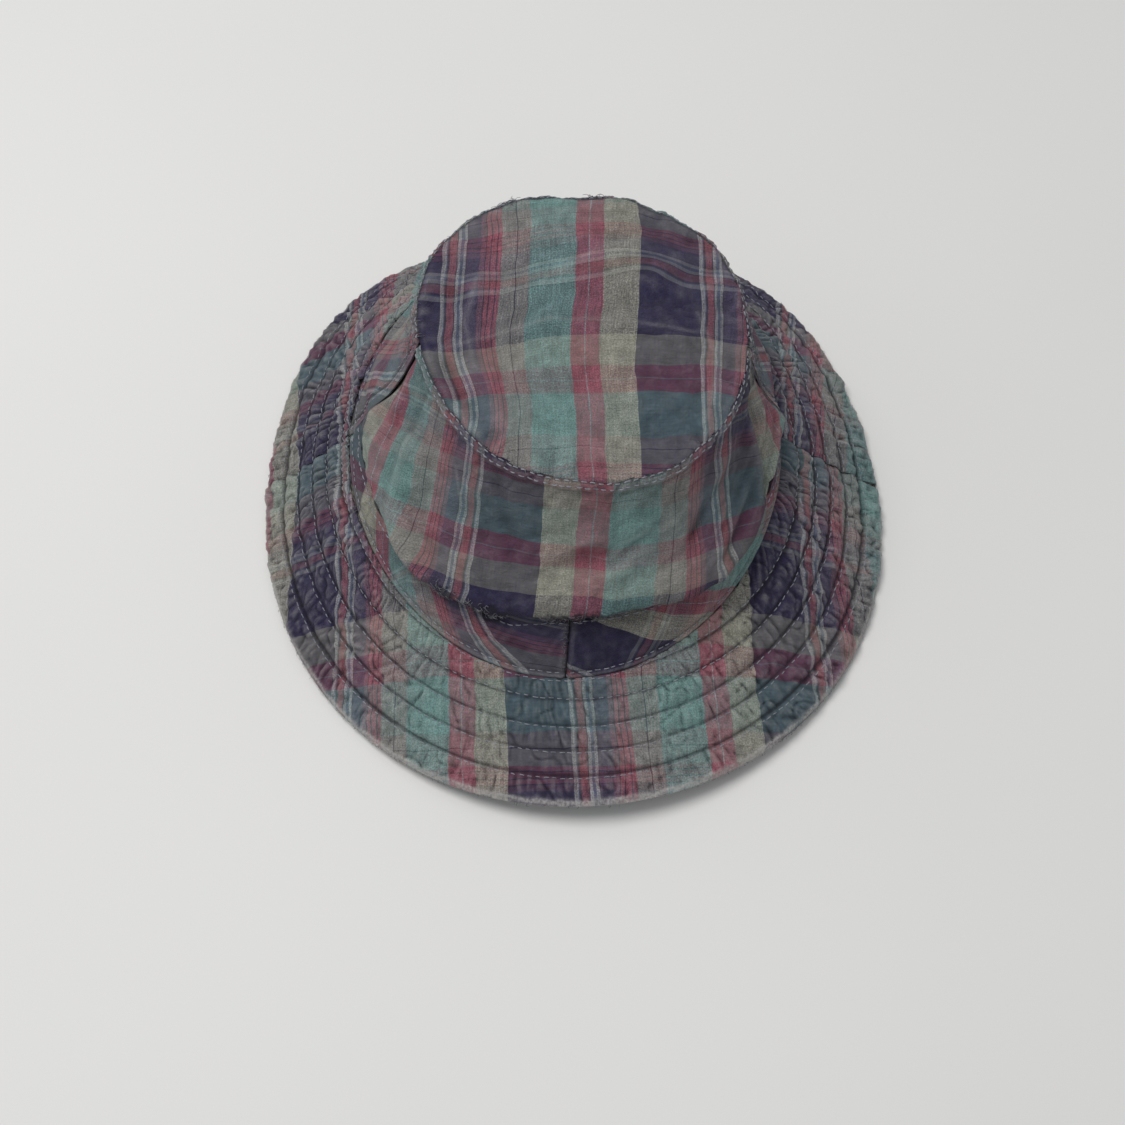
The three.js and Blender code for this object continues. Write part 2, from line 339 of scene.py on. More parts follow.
class Nodes:
    """A material's node tree, and short ways to add to it."""

    def __init__(self, name):
        self.material = bpy.data.materials.new(name)
        self.material.use_nodes = True
        self.tree = self.material.node_tree
        self.shader = self.tree.nodes["Principled BSDF"]

    def add(self, kind, inputs=(), **settings):
        node = self.tree.nodes.new("ShaderNode" + kind)
        for key, value in settings.items():
            setattr(node, key, value)
        for key, value in dict(inputs).items():
            self.put(node.inputs[key], value)
        return node

    def put(self, socket, value):
        if isinstance(value, bpy.types.NodeSocket):
            self.tree.links.new(value, socket)
        else:
            socket.default_value = value

    def math(self, operation, a, b=0.0):
        return self.add("Math", {0: a, 1: b}, operation=operation).outputs[0]

    def plus(self, a, b):
        return self.math("ADD", a, b)

    def times(self, a, b):
        return self.math("MULTIPLY", a, b)

    def surface(self, colour, roughness, **settings):
        """The shader's colour and roughness, and what is the same all over."""
        self.put(self.shader.inputs["Base Color"], colour)
        self.put(self.shader.inputs["Roughness"], roughness)
        for key, value in settings.items():
            self.shader.inputs[key.replace("_", " ")].default_value = value

    def scaled(self, vector, by):
        return self.add("VectorMath", {0: vector, 1: by}, operation="MULTIPLY").outputs[0]

    def noise(self, vector, scale, detail=2.0, roughness=0.5):
        inputs = {"Vector": vector, "Scale": scale, "Detail": detail, "Roughness": roughness}
        return self.add("TexNoise", inputs).outputs["Fac"]

    def range(self, value, low, high, to_low, to_high):
        inputs = {0: value, 1: low, 2: high, 3: to_low, 4: to_high}
        return self.add("MapRange", inputs).outputs[0]

    def mix(self, factor, a, b, blend="MIX"):
        node = self.add("Mix", data_type="RGBA", blend_type=blend)
        self.put(node.inputs[0], factor)
        self.put(node.inputs[6], a)
        self.put(node.inputs[7], b)
        return node.outputs[2]

    def stripes(self, value):
        ramp = self.add("ValToRGB", {0: value})
        ramp.color_ramp.interpolation = "CONSTANT"
        stops = ramp.color_ramp.elements
        stops.remove(stops[1])
        run = 0.0
        for index, (yarn, width) in enumerate(SETT):
            stop = stops[0] if index == 0 else stops.new(run / 100)
            stop.color = YARNS[yarn]
            run += width
        return ramp.outputs[0]

    def place(self):
        return self.add("UVMap", uv_map="cloth").outputs[0]

    def attribute(self, name):
        return self.add("Attribute", attribute_name=name).outputs["Fac"]

    def bump(self, height, distance, strength=1.0):
        node = self.add("Bump", {"Height": height, "Distance": distance, "Strength": strength})
        self.put(self.shader.inputs["Normal"], node.outputs[0])


def plaid_material(name, tone, fade, wear, mottle, crease_depth):
    """Yarn-dyed plaid: warp and weft stripes crossing, faded in the wash and pale where it rubs.

    tone is its lightness, fade and mottle how far it has washed out in patches and along creases, wear how
    pale it rubs, and crease_depth how far fine creases stand out. mottle also sets how dark the fine creases
    are painted as shade, and the valley attribute paints shade into hollows, seams and holes.
    """
    nodes = Nodes(name)
    place = nodes.place()
    waver = nodes.add("TexNoise", {"Vector": place, "Scale": 6.0, "Detail": 2.0}).outputs["Color"]
    waver = nodes.add("VectorMath", {0: waver, 1: (0.5, 0.5, 0.5)}, operation="SUBTRACT").outputs[0]
    place = nodes.add("VectorMath", {0: place, 1: nodes.scaled(waver, (0.03, 0.03, 0))}).outputs[0]
    parts = nodes.add("SeparateXYZ", {0: place})
    warp = nodes.stripes(nodes.math("FRACT", parts.outputs[0]))
    weft = nodes.stripes(nodes.math("FRACT", parts.outputs[1]))

    warp_streak = nodes.noise(nodes.scaled(place, (150, 10, 1)), 1.0)
    weft_streak = nodes.noise(nodes.scaled(place, (10, 150, 1)), 1.0)
    speckle = nodes.noise(place, 190.0, 3.0)
    over = nodes.plus(nodes.range(speckle, 0.3, 0.7, -0.16, 0.16),
                      nodes.range(warp_streak, 0.3, 0.7, 0.58, 0.76))  # how much warp shows
    cloth = nodes.mix(over, weft, warp)

    light = nodes.times(nodes.range(warp_streak, 0.25, 0.75, 0.82, 1.18),
                        nodes.range(weft_streak, 0.25, 0.75, 0.86, 1.14))
    light = nodes.times(light, nodes.range(speckle, 0.3, 0.7, 0.60, 1.40))
    light = nodes.times(light, nodes.range(nodes.noise(place, 16.0, 6.0), 0.3, 0.7, 0.8 * tone, 1.2 * tone))
    cloth = nodes.mix(1.0, cloth, nodes.add("CombineColor", {0: light, 1: light, 2: light}).outputs[0],
                      "MULTIPLY")

    crumple = nodes.noise(place, 22.0, 6.0, 0.68)
    crushed = nodes.range(nodes.math("ABSOLUTE", nodes.math("SUBTRACT", crumple, 0.5)), 0.0, 0.12, 0.0, 1.0)
    patches = nodes.noise(place, 3.5, 4.0)
    faded = nodes.range(patches, 0.35, 0.7, 0.0, fade)
    faded = nodes.plus(faded, nodes.range(crumple, 0.45, 0.7, 0.0, mottle))
    cloth = nodes.mix(faded, cloth, WASHED)
    # Painted shade: the fine crease lines are darkened by mottle.
    cloth = nodes.mix(nodes.range(crushed, 0.0, 0.5, mottle, 0.0), cloth, CREASE_SHADE)
    fibres = nodes.noise(place, 120.0, 3.0)
    rubbed = nodes.times(nodes.attribute("wear"), nodes.range(fibres, 0.3, 0.65, 0.35, 1.0))
    cloth = nodes.mix(nodes.times(rubbed, wear), cloth, RUBBED)
    # Painted shade where the valley attribute marks hollows, seam gaps, stitch grooves and holes.
    cloth = nodes.mix(nodes.times(nodes.attribute("valley"), 0.78), cloth, SHADED)

    yarn = REPEAT * 2 * math.pi / YARN_PITCH
    threads = nodes.times(nodes.math("SINE", nodes.times(parts.outputs[0], yarn)),
                          nodes.math("SINE", nodes.times(parts.outputs[1], yarn)))
    height = nodes.plus(nodes.times(threads, 0.35), speckle)
    height = nodes.plus(height, nodes.times(warp_streak, 0.8))
    height = nodes.plus(height, nodes.times(crushed, crease_depth))
    nodes.bump(height, 0.00022, 0.8)
    nodes.surface(cloth, nodes.range(fibres, 0.3, 0.7, 0.82, 0.95), Specular_IOR_Level=0.22,
                  Sheen_Weight=0.06, Sheen_Roughness=0.5)
    return nodes.material


def twill_material(name, colour, shade, pitch):
    """A diagonal twill or a felted layer in one colour, with slubs."""
    nodes = Nodes(name)
    place = nodes.place()
    parts = nodes.add("SeparateXYZ", {0: place})
    diagonal = nodes.plus(parts.outputs[0], nodes.times(parts.outputs[1], 1.7))
    rib = nodes.math("SINE", nodes.times(diagonal, 2 * math.pi * REPEAT / pitch))
    slub = nodes.noise(nodes.scaled(place, (30, 200, 1)), 1.0, 3.0)
    patches = nodes.noise(place, 6.0, 3.0)
    tone = nodes.plus(nodes.range(rib, -1, 1, 0.0, 0.35), nodes.range(slub, 0.3, 0.7, 0.0, 0.5))
    tone = nodes.plus(tone, nodes.range(patches, 0.35, 0.65, -0.1, 0.25))
    nodes.bump(nodes.plus(rib, slub), 0.00015, 0.7)
    nodes.surface(nodes.mix(tone, shade, colour), nodes.range(slub, 0.3, 0.7, 0.8, 0.95),
                  Specular_IOR_Level=0.2)
    return nodes.material


def thread_material(name, shade, colour):
    """Sewing thread or loose yarn, with its twist."""
    nodes = Nodes(name)
    parts = nodes.add("SeparateXYZ", {0: nodes.place()})
    lay = nodes.plus(nodes.times(parts.outputs[0], 9.0), parts.outputs[1])
    twist = nodes.math("SINE", nodes.times(lay, 2 * math.pi))
    grime = nodes.noise(nodes.add("TexCoord").outputs["Object"], 700.0, 3.0)
    tone = nodes.plus(nodes.range(twist, -1, 1, 0.0, 0.3), nodes.range(grime, 0.35, 0.65, 0.0, 0.7))
    nodes.bump(twist, 0.00006, 0.6)
    nodes.surface(nodes.mix(tone, shade, colour), nodes.range(grime, 0.3, 0.7, 0.55, 0.8), Sheen_Weight=0.1)
    return nodes.material


crown_plaid = plaid_material("crown_plaid", 1.07, 0.05, 0.3, 0.07, 2.0)
brim_plaid = plaid_material("brim_plaid", 1.22, 0.05, 0.85, 0.06, 2.4)
twill = twill_material("twill", srgb(168, 166, 156), srgb(120, 118, 112), 1.4)
felt = twill_material("interlining", srgb(222, 218, 206), srgb(184, 180, 168), 3.1)
thread = thread_material("stitch_thread", srgb(106, 110, 122), srgb(170, 174, 182))
loose_yarn = thread_material("loose_yarn", srgb(44, 40, 58), srgb(150, 150, 156))


# ---- meshes

def new_object(name, data):
    made = bpy.data.objects.new(name, data)
    bpy.context.scene.collection.objects.link(made)
    return made


def add_mesh(name, vertices, faces, uvs, attributes, material, nodes):
    """One visible piece, and the CAD nodes that it replaces."""
    mesh = bpy.data.meshes.new(name)
    mesh.from_pydata((vertices * MM).tolist(), [], faces.tolist())
    layer = mesh.uv_layers.new(name="cloth")
    layer.uv.foreach_set("vector", uvs[faces].astype(np.float32).ravel())
    for key, values in attributes.items():
        mesh.attributes.new(key, "FLOAT", "POINT").data.foreach_set("value", values.astype(np.float32))
    mesh.polygons.foreach_set("use_smooth", np.ones(len(faces), bool))
    mesh.materials.append(material)
    mesh.update()
    piece = new_object(name, mesh)
    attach(piece, "root")
    if nodes:
        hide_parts(*nodes)


def cloth_piece(name, surface, uv, thick, material, nodes, wear=0.0, valley=0.0):
    """A panel of cloth with an outer face on the surface, an inner face under it and edges between."""
    rows, columns = surface.share.shape
    inner = surface.points - surface.normals * np.broadcast_to(thick, (rows, columns))[..., None]
    vertices = np.concatenate([surface.points.reshape(-1, 3), inner.reshape(-1, 3)])
    index = np.arange(rows * columns).reshape(rows, columns)
    a, b, c, d = index[:-1, :-1], index[1:, :-1], index[1:, 1:], index[:-1, 1:]
    outer = np.stack([a, d, c, b], -1).reshape(-1, 4)
    under = outer[:, ::-1] + rows * columns

    def wall(line):
        pair = np.stack([line[:-1], line[1:]], -1)
        return np.concatenate([pair, pair[:, ::-1] + rows * columns], -1)
    border = [wall(index[:, 0])[:, ::-1], wall(index[:, -1]), wall(index[0]), wall(index[-1])[:, ::-1]]
    faces = np.concatenate([outer, under] + border)
    uvs = np.concatenate([uv.reshape(-1, 2)] * 2)

    def both(values):
        return np.tile(np.broadcast_to(values, (rows, columns)).reshape(-1), 2)
    # wear is the cloth's own rubbed paling; valley is where shade is painted.
    attributes = {"wear": np.clip(both(wear), 0, 1), "valley": np.clip(both(valley), 0, 1)}
    add_mesh(name, vertices, faces, uvs, attributes, material, nodes)


class Threads:
    """Many short lengths of thread, collected into one mesh."""

    def __init__(self):
        self.vertices, self.faces, self.uvs, self.count = [], [], [], 0

    def add(self, centre, up, width, sides=6):
        """One length along its centre points, with a direction up and a radius at each."""
        along = unit(np.gradient(centre, axis=0))
        side = unit(np.cross(along, up))
        up = np.cross(side, along)
        turn = np.linspace(0, 2 * np.pi, sides, endpoint=False)
        ring = (np.cos(turn)[None, :, None] * side[:, None] + np.sin(turn)[None, :, None] * up[:, None])
        self.vertices.append((centre[:, None] + width[:, None, None] * ring).reshape(-1, 3))
        run = run_along(centre)
        self.uvs.append(np.stack(np.meshgrid(run / 2, turn / (2 * np.pi), indexing="ij"), -1).reshape(-1, 2))
        i, j = np.meshgrid(np.arange(len(centre) - 1), np.arange(sides), indexing="ij")
        k = (j + 1) % sides
        quads = np.stack([sides * i + j, sides * (i + 1) + j, sides * (i + 1) + k, sides * i + k], -1)
        self.faces.append(self.count + quads.reshape(-1, 4))
        self.count += len(centre) * sides

    def finish(self, name, material):
        add_mesh(name, np.concatenate(self.vertices), np.concatenate(self.faces),
                 np.concatenate(self.uvs), {}, material, [])


def stitches(name, rows, radius=THREAD_RADIUS):
    """Rows of stitches. Each row is its points along the seam and the normals there."""
    generator = np.random.default_rng(7)
    threads = Threads()
    for points, normals in rows:
        run = run_along(points)
        starts = np.arange(0.4, run[-1] - STITCH_LENGTH, STITCH_PITCH)
        starts = starts + generator.uniform(-0.3, 0.3, len(starts))
        sizes = STITCH_LENGTH * generator.uniform(0.75, 1.12, len(starts))
        for start, size in zip(starts, sizes):
            at = start + size * np.array([0, 0.12, 0.35, 0.65, 0.88, 1.0])
            lift = radius * np.array([-2.6, 0.1, 0.8, 0.8, 0.1, -2.6])
            centre = np.stack([np.interp(at, run, points[:, k]) for k in range(3)], -1)
            up = unit(np.stack([np.interp(at, run, normals[:, k]) for k in range(3)], -1))
            side = unit(np.cross(np.gradient(centre, axis=0), up))
            slant = generator.uniform(-0.22, 0.22, 2)
            centre = centre + up * lift[:, None] + side * np.linspace(slant[0], slant[1], 6)[:, None]
            threads.add(centre, up, radius * np.array([0.5, 0.9, 1.0, 1.0, 0.9, 0.5]))
    threads.finish(name, thread)


def frays(name, places):
    """Loose ends of thread. Each place is a surface, a range of angles, a range of distances down, how
    many ends, their length and radius."""
    generator = np.random.default_rng(19)
    threads = Threads()
    for surface, angles, downs, count, length, radius in places:
        angle = generator.uniform(*angles, count)
        share = surface.share_down(angle, generator.uniform(*downs, count))
        points, normals = surface.at(angle, share)
        for point, up in zip(points, normals):
            up = up / np.linalg.norm(up)
            heading = np.cross(up, generator.normal(size=3))
            heading /= np.linalg.norm(heading)
            step = length * generator.uniform(0.5, 1.3) / 7
            bend = generator.uniform(-0.45, 0.45)
            centre = [point + up * 0.1]
            for k in range(7):
                centre.append(centre[-1] + step * (heading + up * 0.45 * math.cos(k * 0.6)))
                heading = heading + bend * np.cross(up, heading) + 0.12 * generator.normal(size=3)
                heading /= np.linalg.norm(heading)
            width = radius * generator.uniform(0.7, 1.2) * np.array([1, 1, 1, 1, 1, 1, 0.9, 0.4])
            threads.add(np.array(centre), np.tile(up, (8, 1)), width, 4)
    threads.finish(name, loose_yarn)


# ---- crown

def tip_swell(angle):
    """How far the tip seam stands out from its oval: waves of the whole, then lumps."""
    lumps = noise(angle % 360 / 13, 0 * angle, 21) + 0.6 * noise(angle % 360 / 6, 0 * angle, 22)
    return waves(angle, TIP_WAVES) + 0.012 * lumps * smooth(np.abs((angle + 180) % 360 - 180) / 20)


def seam_lift(angle):
    """How far the worn tip seam dips or rises."""
    lumps = noise(angle % 360 / 15, 0 * angle, 23) + 0.6 * noise(angle % 360 / 7, 0 * angle, 24)
    return 1.3 * lumps * smooth(np.abs((angle + 180) % 360 - 180) / 20)


def seam_fade(levels, share):
    """How much of the tip seam's waves is left lower down: none past the third level."""
    return smooth(1 - share * (len(levels) - 1) / 3.2)


def crown_surface(levels, start, end, around, across, first=0.0, last=1.0):
    """The crown from one share of the way down to another."""
    angle, part = grid(start, end, around, across)
    share = first + (last - first) * part
    points = on_oval(levels_at(levels, share), angle, tip_swell(angle) * seam_fade(levels, share))
    points[..., 2] += seam_lift(angle) * smooth(1 - 4 * share)
    return Surface(points, angle, part)


def wear_of(height, amount, spread=14):
    """How far each place stands proud of its surroundings, where the laundry fades it, and how far below."""
    proud = height - blur(height, spread)
    # The second value is painted shade, for places lying below their surroundings.
    return np.clip(proud * amount, 0, 1), np.clip(-proud * amount, 0, 1)


def seam_relief(surface, seed):
    """The wall just below the tip seam: turned allowances, stitched down twice, with small puckers."""
    down, around = surface.down, surface.around
    band = smooth(down / 0.8) * smooth((5.2 - down) / 1.8)
    pinch = noise(around / 2.4, down / 9, seed)
    below = folds(around / 6, down / 14, seed + 1) * smooth((down - 4) / 3) * smooth((22 - down) / 16)
    return 0.8 * band + band * 0.6 * pinch + 0.4 * below - 0.6 * bell(down, 0, 0.5)


def side_hem(angle, reach):
    """Distance from the nearer side seam, in millimetres."""
    away = np.abs((angle + 90) % 180 - 90)
    return np.radians(away) * reach


def tuck_depth(angle):
    """How deep the tuck is: full in front, shallow at the side seams."""
    return 0.3 + 0.7 * smooth((angle - 206) / 20) * smooth((350 - angle) / 22)


def creep(angle, places):
    """How far the tuck's lip has moved out at an angle."""
    return sum(distance * angle_bell(angle, middle, spread) for middle, spread, distance in places)


def lip_part(share):
    """How much each share of the front wall moves with the tuck's lip."""
    return smooth((share - 0.25) / 0.35) * smooth((1.02 - share) / 0.3)


def front_surface(flat, tucked, start, end, around, across, is_wall):
    """The front of the crown: the wall from the tip seam to the tuck's lip, or the band below it."""
    angle, share = grid(start, end, around, across)
    swell = tip_swell(angle) * seam_fade(flat, share) if is_wall else 0.0
    depth = tuck_depth(angle)[..., None]
    points = (on_oval(levels_at(flat, share), angle, swell) * (1 - depth)
              + on_oval(levels_at(tucked, share), angle, swell) * depth)
    if is_wall:
        moved = creep(angle, LIP_CREEP) * lip_part(share)
        turn = np.radians(angle)
        points = points + np.stack([moved * np.cos(turn), moved * np.sin(turn), -0.6 * moved], -1)
        points[..., 2] += seam_lift(angle) * smooth(1 - 4 * share)
    return Surface(points, angle, share)


def front_wall_bare():
    return front_surface(FRONT_FLAT, FRONT_WALL, LEFT + SEAM_GAP, RIGHT - SEAM_GAP, 300, 110, True)


def torn_at(angle):
    """Where the tuck's folded edge has worn through, from 0 to 1."""
    return sum(depth * angle_bell(angle, middle, spread) for middle, spread, depth, _, _ in HOLES)


def hole_shade_reach(angle):
    """How far down the band the painted shade of each hole reaches."""
    return sum(reach * angle_bell(angle, middle, spread) for middle, _, _, reach, spread in HOLES)


def on_wall(path):
    """A path of angles and distances down, in millimetres round the front wall and down."""
    return [(WALL_PER_DEGREE * (angle - FRONT), down) for angle, down in path]


def crown_piece(name, surface, uv, node, wear, valley):
    cloth_piece(name, surface, uv, CLOTH, crown_plaid, [node], wear, valley)


def build_wall_front():
    """The slack front wall, which sags over the tuck."""
    surface = front_wall_bare()
    x, y = surface.around, surface.down
    height = seam_relief(surface, 31)
    slack = smooth((y - 8) / 20) * smooth((60 - y) / 14)
    height += 2.4 * noise(x / 34, y / 26, 33) * slack
    height += 1.3 * noise((x + 0.6 * y) / 12, (y - 0.4 * x) / 16, 34) * slack
    height += 0.18 * noise(x / 4.4, y / 5, 37) + 0.09 * noise(x / 2.2, y / 2.2, 36)
    round_wall = WALL_PER_DEGREE * (surface.angle - FRONT)
    for path, width, rise in WALL_FOLDS:
        height += crease(round_wall, y, on_wall(path), width, FOLD_RISE * rise)
    edge = side_hem(surface.angle, 78)
    height = height * smooth(edge / 4 + 0.3) - 1.0 * bell(edge, 0, 1.5) * smooth((50 - y) / 20)
    lip = smooth((surface.share - 0.6) / 0.15)
    torn = torn_at(surface.angle)
    height += lip * torn * (2.0 + 1.1 * noise(x / 3, y / 3, 38))
    height += 0.5 * lip * noise(x / 4, y / 6, 39)
    raised = surface.raised(height)
    wear, valley = wear_of(height, 1.4)
    wear += 0.5 * bell(y, 4.6, 0.5) * (0.6 + 0.5 * noise(x / 3, y, 30))
    wavering = round_wall + 0.5 * noise(x / 6, y / 6, 32)
    for path in WORN_CREASES:
        line = crease(wavering, y, on_wall(path), 0.55, 0.6)
        wear += line * (0.6 + 0.6 * noise(x / 7, y / 7, 29))
    # Painted shade in the side seam's gap and along the tip seam.
    valley += 0.9 * bell(edge, 0, 0.9) + 0.8 * bell(y, 0, 0.7)
    # Painted shade inside the holes worn through the tuck's edge.
    ragged = 0.05 * noise(x / 1.2, y / 2, 40)
    hole_shade_edge = HOLE_SHADE_START + 0.08 * angle_bell(surface.angle, 272, 10)
    valley += 1.3 * np.minimum(torn, 1) * smooth((surface.share - hole_shade_edge - ragged) / 0.02)
    uv = wall_plaid(*cone_panel(surface, FRONT, WALL_CONE, surface.down), WALL_FRONT_PLAID)
    crown_piece("wall_front", raised, uv, "crown_wall_front", wear, valley)
    return raised


def build_wall_back():
    """The back wall, which runs from the tip seam to the brim seam."""
    surface = crown_surface(BACK_WALL, SEAM_GAP, LEFT - SEAM_GAP, 300, 100)
    x, y = surface.around, surface.down
    height = seam_relief(surface, 41)
    hem = surface.length - y
    slack = smooth((y - 6) / 16) * smooth((hem - 1) / 14)
    height += 2.2 * noise(x / 36, y / 30, 43) * slack
    height += 0.9 * noise((x + 0.5 * y) / 12, y / 16, 44) * slack
    height += 0.18 * noise(x / 4.4, y / 5, 47) + 0.09 * noise(x / 2.2, y / 2.2, 46)
    edge = side_hem(surface.angle, 80)
    height = height * smooth(edge / 5 + 0.2) + 0.7 * bell(edge, 2.2, 1.7) - 0.5 * bell(edge, 4.6, 0.6)
    height += 0.35 * bell(hem, 1.2, 1.0) - 0.35 * bell(hem, 2.6, 0.7)
    raised = surface.raised(height)
    wear, valley = wear_of(height, 1.4)
    wear += 0.6 * bell(edge, 0.6, 0.6)
    # Painted shade beside the side seam's edge and along the tip seam.
    valley += 0.7 * bell(edge, 4.6, 0.5) + 0.8 * bell(y, 0, 0.7)
    uv = wall_plaid(*cone_panel(surface, BACK, WALL_CONE, surface.down), WALL_BACK_PLAID)
    crown_piece("wall_back", raised, uv, "crown_wall_back", wear, valley)
    return raised


def build_band(name, start, end, uv_of, seed, node):
    """One half of the lower band, from the tuck to the brim seam."""
    surface = front_surface(BAND_FLAT, BAND, start, end, 160, 44, False)
    x, y = surface.around, surface.down
    hem = surface.length - y
    height = 0.6 * noise(x / 14, y / 12, seed) * smooth(hem / 8)
    height += 0.35 * folds(x / 8, y / 16, seed + 1) * smooth(hem / 8)
    height += 0.1 * noise(x / 2.6, y / 2.6, seed)
    height += 0.45 * bell(hem, 1.2, 0.9) - 0.4 * bell(hem, 2.9, 0.7)
    seam = np.abs(surface.angle - FRONT) * 1.7
    height = height - 0.7 * bell(seam, 0, 0.6) + 0.25 * bell(seam, 2.2, 1.2)
    raised = surface.raised(height)
    wear, valley = wear_of(height, 1.4)
    wear += 0.4 * bell(hem, 1.4, 0.5)
    # Painted shade under the lip at the band's top, inside the holes and at the brim seam.
    hole = hole_shade_reach(surface.angle) - y + 1.2 * noise(x / 1.4, y / 1.4, seed + 2)
    valley += 0.3 * bell(y, 0, 5) + 1.9 * smooth(hole / 1.3) + 1.2 * bell(hem, 0, 0.7)
    crown_piece(name, raised, uv_of(surface), node, wear, valley)
    return raised


def left_band_cloth(surface):
    """The left band goes on from the wall's cloth, less what the tuck takes up."""
    wall = front_wall_bare()
    run = wall.length_at(surface.angle) + surface.down
    across, down = cone_panel(surface, FRONT, WALL_CONE, run + 9 * tuck_depth(surface.angle))
    across = across - 0.6 * surface.down * smooth((surface.angle - 200) / 30)
    across = across - 17 * smooth((surface.angle - 243) / 27) - 15 * smooth((228 - surface.angle) / 18)
    return wall_plaid(across, down, WALL_FRONT_PLAID)


def right_band_cloth(surface):
    """The right band is cut from another part of the cloth, on the skew."""
    reach, skew = 95, 27
    x, turn = np.radians(surface.angle - FRONT) * reach, math.radians(skew)
    above = x * math.sin(turn) - surface.down * math.cos(turn)
    along = x * math.cos(turn) + surface.down * math.sin(turn)
    return np.stack([0.753 - (above - 2.6) / 82, 1.0 + (along - 33) / 125], -1)


def cloth_creep(x, y, places):
    """How far washing has moved the tip's cloth at a place."""
    return sum(distance * bell(x, x0, wide) * bell(y, y0, long) for x0, y0, wide, long, distance in places)


def build_tip():
    """The oval panel on top, a little domed and crumpled."""
    angle, share = grid(0, 360, 361, 70)
    seam = on_oval(levels_at([TIP_SEAM, TIP_SEAM], share * 0), angle, tip_swell(angle))
    middle = np.array([4.0, 4.0, 100.0])
    points = middle + (seam - middle) * share[..., None]
    points[..., 2] += 3.4 * (1 - share ** 2) + 0.2 + seam_lift(angle) * smooth(4 * share - 3)
    x, y = points[..., 0], points[..., 1]
    rim = (1 - share) * TIP_SEAM[0]
    height = 2.0 * noise(x / 30 + 5, y / 24 + 5, 51) * smooth(rim / 14)
    height += 0.8 * noise((x + 0.4 * y) / 13 + 5, (y - 0.3 * x) / 9 + 5, 52) * smooth(rim / 6)
    height += 0.16 * noise(x / 5, y / 4, 55) + 0.08 * noise(x / 2.2, y / 2.2, 53)
    height += 0.5 * noise(angle / 3.1, rim / 12, 54) * smooth((14 - rim) / 12) * smooth(rim / 1.5)
    for path, width, rise in TIP_FOLDS:
        height += crease(x, y, path, width, rise) * smooth(rim / 8)
    height = height - 0.5 * smooth((1.6 - rim) / 1.6)
    points[..., 2] += height
    surface = Surface(points, angle, share)
    surface.normals[:, 0] = (0, 0, 1)
    wear, valley = wear_of(height, 1.6)
    wavering = x + 0.6 * noise(x / 7 + 9, y / 7 + 9, 56)
    for path in (path for path, _, rise in TIP_FOLDS if rise > 0):
        wear += crease(wavering, y, path, 0.6, 0.45)
    across = x - 47.5 + cloth_creep(x, y, TIP_CREEP_ACROSS)
    along = y - 2.44 + cloth_creep(x, y, TIP_CREEP_ALONG)
    uv = np.stack([across / REPEAT, 0.784 + along / REPEAT], -1)
    crown_piece("tip", surface, uv, "crown_tip", wear, valley)


# ---- brim

def brim_middle(start, end, around, across):
    """The middle of the brim's layers, from its seam out to its edge."""
    angle, share = grid(start, end, around, across)
    points = on_oval(levels_at(BRIM, share), angle, waves(angle, BRIM_WAVES) * smooth(share * 1.1))
    for middle, spread, height in BRIM_LIFTS:
        points[..., 2] += height * angle_bell(angle, middle, spread) * share ** 1.7
    return Surface(points, angle, share)


